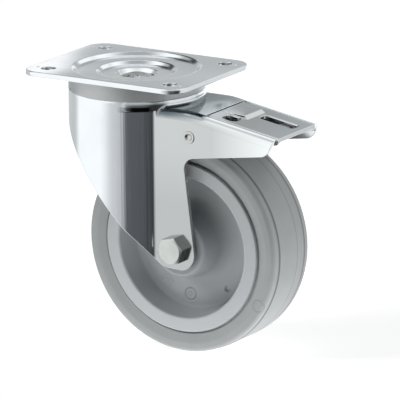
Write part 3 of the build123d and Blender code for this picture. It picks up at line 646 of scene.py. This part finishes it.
def panel_bend(tree, place, lines):
    """Crown and draw marks of the two panels, and where they are. Both are handled as the near one."""
    x, y, _ = split(tree, place)
    near_y = sums(tree, "MULTIPLY", sums(tree, "ABSOLUTE", y), -1.0)
    near = put(tree, "ShaderNodeCombineXYZ", {"X": x, "Y": near_y}).outputs[0]
    along = measure(tree, "DOT_PRODUCT", near, PANEL_ALONG)
    away = measure(tree, "DOT_PRODUCT", near, PANEL_FACING)
    where = use(tree, soft_band, Value=away, Middle=PANEL_AWAY, Half_width=PANEL_HALF)["Mask"]
    where = all_of(tree, where, ramp(tree, x, *CHEEK_START_X, 1.0, 0.0))
    past = sums(tree, "SUBTRACT", along, CROWN_MIDDLE)
    crown = sums(tree, "MULTIPLY", sums(tree, "MULTIPLY", past, past), -CROWN_PER_METRE)
    return sums(tree, "ADD", crown, sums(tree, "MULTIPLY", lines, DRAW_DEPTH)), where


bend_length = BEND_START_X - castor_box[0].x
bend_slope = 2 * BEND_PER_METRE * bend_length
print("plate's end seems bent by", round(math.degrees(math.atan(bend_slope)), 1), "degrees")

# %% [markdown]
# Plate, fork and pedal are cut from rolled sheet of different thickness. The mill's lines run
# along the plate and the pedal, and up and down the fork, so each has a stretch of its own.

# %% The three zinc sheets
ALONG_Z = (420.0, 420.0, 7.0)    # noise per metre along X, Y and Z
ALONG_X = (9.0, 700.0, 700.0)
zinc_plate = zinc_sheet("zinc sheet, plate", ALONG_X, PLATE_EDGE, PLATE_WAVE, bend=plate_bend)
zinc_fork = zinc_sheet("zinc sheet, fork", ALONG_Z, tones=fork_painted_light, bend=panel_bend)
zinc_pedal = zinc_sheet("zinc sheet, pedal", ALONG_X, tones=pedal_tones)
print("finishes:", zinc_plate.name, "and", zinc_fork.name, "and", zinc_pedal.name)

# %% [markdown]
# ## Satin zinc on bolts and rivets
# Bolt, nut, washer and rivets are forged before plating. Their skin is finely pitted, so they
# look duller and slightly warmer than the sheet. The kingpin's end was hammered over in place and
# is dented. The same function serves both, with a stronger and larger dent for the kingpin.

# %% Satin zinc
SATIN_ZINC = (0.58, 0.59, 0.565, 1)
SATIN_ZINC_DARK = (0.48, 0.495, 0.48, 1)
FORGED_EDGE = 0.0005
SATIN_CLOUDS = (150.0, 1.6)
SATIN_SPAN = 0.12                # how much rougher the dull clouds are
FASTENER_DENTS = (1400.0, 0.00004)    # how many per metre, and how deep
HAMMER_DENTS = (330.0, 0.0009)


def satin_zinc(name, dents, roughness):
    dents_per_metre, dent_depth = dents
    clouds_per_metre, contrast = SATIN_CLOUDS
    material, tree, shader, place = start_finish(name, Metallic=1.0)
    edges = use(tree, soft_edges, Radius=FORGED_EDGE, Reach=EDGE_REACH)
    cloud = use(tree, clouds, Place=place, Clouds_per_metre=clouds_per_metre, Contrast=contrast)["Mask"]
    colour = blend_colours(tree, cloud, SATIN_ZINC, SATIN_ZINC_DARK)
    colour = blend_colours(tree, edges["Edge"], colour, ZINC_WORN)
    normal = roughen(tree, noise(tree, place, dents_per_metre), dent_depth, edges["Normal"])
    rough = spread(tree, cloud, roughness, roughness + SATIN_SPAN)
    feed(tree, shader, Base_Color=colour, Roughness=rough, Normal=normal)
    return material


zinc_fastener = satin_zinc("satin zinc, fasteners", FASTENER_DENTS, roughness=0.26)
zinc_kingpin = satin_zinc("satin zinc, hammered end", HAMMER_DENTS, roughness=0.22)
print("finishes:", zinc_fastener.name, "and", zinc_kingpin.name)

# %% [markdown]
# ## Steel inside the head and the brake
# Balls and races are hardened, ground and lightly greased. The brake's leaf and the lock ring
# are spring steel, blued by heat. Little of them shows, but the joints' other positions
# open a view of them.

# %% Inner steels
STEEL_EDGE = 0.0003
STEEL_SPAN = 0.15
GROUND = ((0.62, 0.63, 0.64, 1), (0.5, 0.5, 0.5, 1))
BLUED = ((0.30, 0.32, 0.36, 1), (0.2, 0.2, 0.23, 1))


def inner_steel(name, colours, roughness):
    material, tree, shader, place = start_finish(name, Metallic=1.0)
    edges = use(tree, soft_edges, Radius=STEEL_EDGE, Reach=EDGE_REACH)
    marks = use(tree, streaks, Place=place, Stretch=ALONG_X)["Mask"]
    tint = blend_colours(tree, marks, *colours)
    tint = blend_colours(tree, edges["Edge"], tint, ZINC_WORN)
    rough = spread(tree, marks, roughness, roughness + STEEL_SPAN)
    normal = roughen(tree, marks, LINE_DEPTH, edges["Normal"])
    feed(tree, shader, Base_Color=tint, Roughness=rough, Normal=normal)
    return material


ground_steel = inner_steel("ground bearing steel", GROUND, roughness=0.12)
blued_steel = inner_steel("blued spring steel", BLUED, roughness=0.3)
print("finishes:", ground_steel.name, "and", blued_steel.name)

# %% [markdown]
# ## Moulded plastic
# The wheel's centre and the dust ring are moulded. The mould's fine grain spreads the gloss, and the
# plastic's flow leaves faint clouds. Corners that touch things get polished, so the roughness drops a
# little at the edges. Ejector pins leave rings in the wheel's web, and one dimple. They are pressed in
# with the round mark group. Round the boss at the axle, a painted shade darkens the web's recess.

# %% Moulded plastic
MOULD_EDGE = 0.0008
MOULD_EDGE_REACH = 4.0
MOULD_CLOUDS = (28.0, 1.2)
MOULD_SPAN = 0.08
POLISH = 0.12                         # how much smoother an edge gets
MOULD_GRAINS_PER_METRE = 2200.0
AXLE = (0.0525, 0.0, -0.125)
# Painted shade in the web's recess round the boss, fading out from the axle.
BOSS_PAINTED_SHADE = (0.13, 0.135, 0.145, 1)
BOSS_SHADE_REACH = (0.019, 0.042)      # from the axle outwards


def moulded(name, colours, roughness, grain_depth, metal=0.0, marks=(), boss_shade=0.0):
    clouds_per_metre, contrast = MOULD_CLOUDS
    material, tree, shader, place = start_finish(name, Metallic=metal)
    edges = use(tree, soft_edges, Radius=MOULD_EDGE, Reach=MOULD_EDGE_REACH)
    cloud = use(tree, clouds, Place=place, Clouds_per_metre=clouds_per_metre, Contrast=contrast)["Mask"]
    grain = use(tree, fine_grain, Place=place, Grains_per_metre=MOULD_GRAINS_PER_METRE)["Height"]
    rough = sums(tree, "SUBTRACT", spread(tree, cloud, roughness, roughness + MOULD_SPAN),
                 spread(tree, edges["Edge"], 0.0, POLISH))
    normal = roughen(tree, grain, grain_depth, edges["Normal"])
    for centre, radius, half_width, depth in marks:
        mark = use(tree, round_mark, Place=place, Centre=centre, Radius=radius, Half_width=half_width)
        normal = roughen(tree, mark["Mask"], -depth, normal)
    tint = blend_colours(tree, cloud, *colours)
    # Painted shade round the boss at the axle.
    if boss_shade:
        across = vectors(tree, "MULTIPLY", vectors(tree, "SUBTRACT", place, AXLE), (1.0, 0.0, 1.0))
        boss_shaded = ramp(tree, measure(tree, "LENGTH", across), *BOSS_SHADE_REACH, boss_shade, 0.0)
        tint = blend_colours(tree, boss_shaded, tint, BOSS_PAINTED_SHADE)
    feed(tree, shader, Base_Color=tint, Roughness=rough, Normal=normal)
    return material


# %% [markdown]
# Three kinds of piece are moulded. The wheel's centre is matt and carries the marks and the painted shade
# round the boss.
# The dust ring is smooth and half metallic, like plated plastic. The bearing's bushes are black.

# %% The moulded pieces
WHEEL_GREYS = ((0.44, 0.46, 0.47, 1), (0.41, 0.43, 0.44, 1))
RING_GREYS = ((0.48, 0.49, 0.495, 1), (0.44, 0.45, 0.455, 1))
BUSH_BLACKS = ((0.05, 0.05, 0.055, 1), (0.035, 0.035, 0.04, 1))
DIMPLE = (0.0794, -0.004, -0.1583)
MIDDLE_RING = (0.0478, -0.004, -0.1665)
LEFT_RING = (0.0274, -0.004, -0.1594)
# (centre, radius, half width, depth) on the near side of the web
WEB_MARKS = [
    (DIMPLE, 0.0, 0.0030, 0.0022),
    (MIDDLE_RING, 0.0046, 0.0010, 0.0006),
    (MIDDLE_RING, 0.0018, 0.0009, 0.0004),
    (LEFT_RING, 0.0046, 0.0010, 0.0004),
    (LEFT_RING, 0.0018, 0.0009, 0.0003),
]
COARSE_GRAIN = 0.00002
SLIGHT_GRAIN = 0.00001
wheel_plastic = moulded(
    "moulded wheel centre", WHEEL_GREYS, 0.5, COARSE_GRAIN, marks=WEB_MARKS, boss_shade=0.55
)
ring_plastic = moulded("moulded dust ring", RING_GREYS, 0.28, SLIGHT_GRAIN, metal=0.5)
bearing_plastic = moulded("moulded bearing bush", BUSH_BLACKS, 0.4, SLIGHT_GRAIN)
print("finishes:", wheel_plastic.name, "and", ring_plastic.name, "and", bearing_plastic.name)

# %% [markdown]
# ## Tyre rubber
# Grey rubber is duller than the wheel's centre, and its skin is slightly pitted. Soft dark bands run
# round the tyre: painted shade in the grooves beside the tread, and a thinner dark line along the mould's
# parting line. One round mark is left on its side. The brake's lining is the same kind of rubber in
# black, without lines.

# %% Tyre rubber
TYRE_GREYS = ((0.33, 0.345, 0.35, 1), (0.30, 0.315, 0.32, 1))
LINING_BLACKS = ((0.02, 0.02, 0.021, 1), (0.03, 0.03, 0.03, 1))
RUBBER_GLOSS = 0.35
RUBBER_EDGE = 0.001
RUBBER_EDGE_REACH = 3.0
RUBBER_CLOUDS = (60.0, 1.2)
RUBBER_SPAN = 0.12
RUBBER_GRAINS = (1300.0, 0.00003)
# Dark colour of the bands round the tread, painted shade in the grooves beside it.
DARK_LINE_GREY = (0.12, 0.125, 0.13, 1)
# (middle across the tyre, half width, how dark)
TREAD_LINES = [(-0.0177, 0.0022, 0.7), (0.0075, 0.0008, 0.5), (0.0177, 0.0022, 0.7)]
# (centre, radius, half width, depth)
SIDE_DISC = ((0.1182, -0.0245, -0.1608), 0.0045, 0.0008, 0.0002)
DISC_DIRT = 0.25


def rubber(name, colours, roughness, lines=(), discs=()):
    """Rubber, with dark lines round the tread and round marks on the side."""
    clouds_per_metre, contrast = RUBBER_CLOUDS
    grains_per_metre, grain_depth = RUBBER_GRAINS
    material, tree, shader, place = start_finish(name, Specular_IOR_Level=RUBBER_GLOSS)
    edges = use(tree, soft_edges, Radius=RUBBER_EDGE, Reach=RUBBER_EDGE_REACH)
    cloud = use(tree, clouds, Place=place, Clouds_per_metre=clouds_per_metre, Contrast=contrast)["Mask"]
    grain = use(tree, fine_grain, Place=place, Grains_per_metre=grains_per_metre)["Height"]
    rough = spread(tree, cloud, roughness, roughness + RUBBER_SPAN)
    normal = roughen(tree, grain, grain_depth, edges["Normal"])
    tint = blend_colours(tree, cloud, *colours)
    across = split(tree, place)["Y"]
    # Painted shade in the grooves beside the tread, and a thin dark line at the parting line.
    for middle, half_width, darkness in lines:
        line = use(tree, soft_band, Value=across, Middle=middle, Half_width=half_width)["Mask"]
        tint = blend_colours(tree, sums(tree, "MULTIPLY", line, darkness), tint, DARK_LINE_GREY)
    for centre, radius, half_width, depth in discs:
        mark = use(tree, round_mark, Place=place, Centre=centre, Radius=radius, Half_width=half_width)
        tint = blend_colours(tree, sums(tree, "MULTIPLY", mark["Mask"], DISC_DIRT), tint, DARK_LINE_GREY)
        normal = roughen(tree, mark["Mask"], -depth, normal)
    feed(tree, shader, Base_Color=tint, Roughness=rough, Normal=normal)
    return material


tyre_rubber = rubber("tyre rubber", TYRE_GREYS, 0.5, lines=TREAD_LINES, discs=[SIDE_DISC])
brake_lining = rubber("brake lining", LINING_BLACKS, 0.6)
print("finishes:", tyre_rubber.name, "and", brake_lining.name)

# %% [markdown]
# ## Giving each piece its finish
# A piece's mesh stays as it is. Only its material changes.

# %% Finishes on the pieces
FINISHES = {
    "top_plate": zinc_plate,
    "kingpin": zinc_kingpin,
    "lower_race": ground_steel,
    "lock_ring": blued_steel,
    "fork": zinc_fork,
    "dust_ring": ring_plastic,
    "upper_balls": ground_steel,
    "lower_balls": ground_steel,
    "axle_bolt": zinc_fastener,
    "axle_washer": zinc_fastener,
    "axle_nut": zinc_fastener,
    "axle_sleeve": ground_steel,
    "tyre": tyre_rubber,
    "wheel_rim": wheel_plastic,
    "roller_cage": bearing_plastic,
    "rollers": ground_steel,
    "bearing_cover_near": bearing_plastic,
    "bearing_cover_far": bearing_plastic,
    "brake_pedal": zinc_pedal,
    "pedal_pin": zinc_fastener,
    "pivot_spacers": bearing_plastic,
    "brake_leaf": blued_steel,
    "brake_shoe": brake_lining,
}

for name, finish in FINISHES.items():
    parts[name].data.materials.clear()
    parts[name].data.materials.append(finish)
print("without a finish:", sorted(set(parts) - set(FINISHES)))
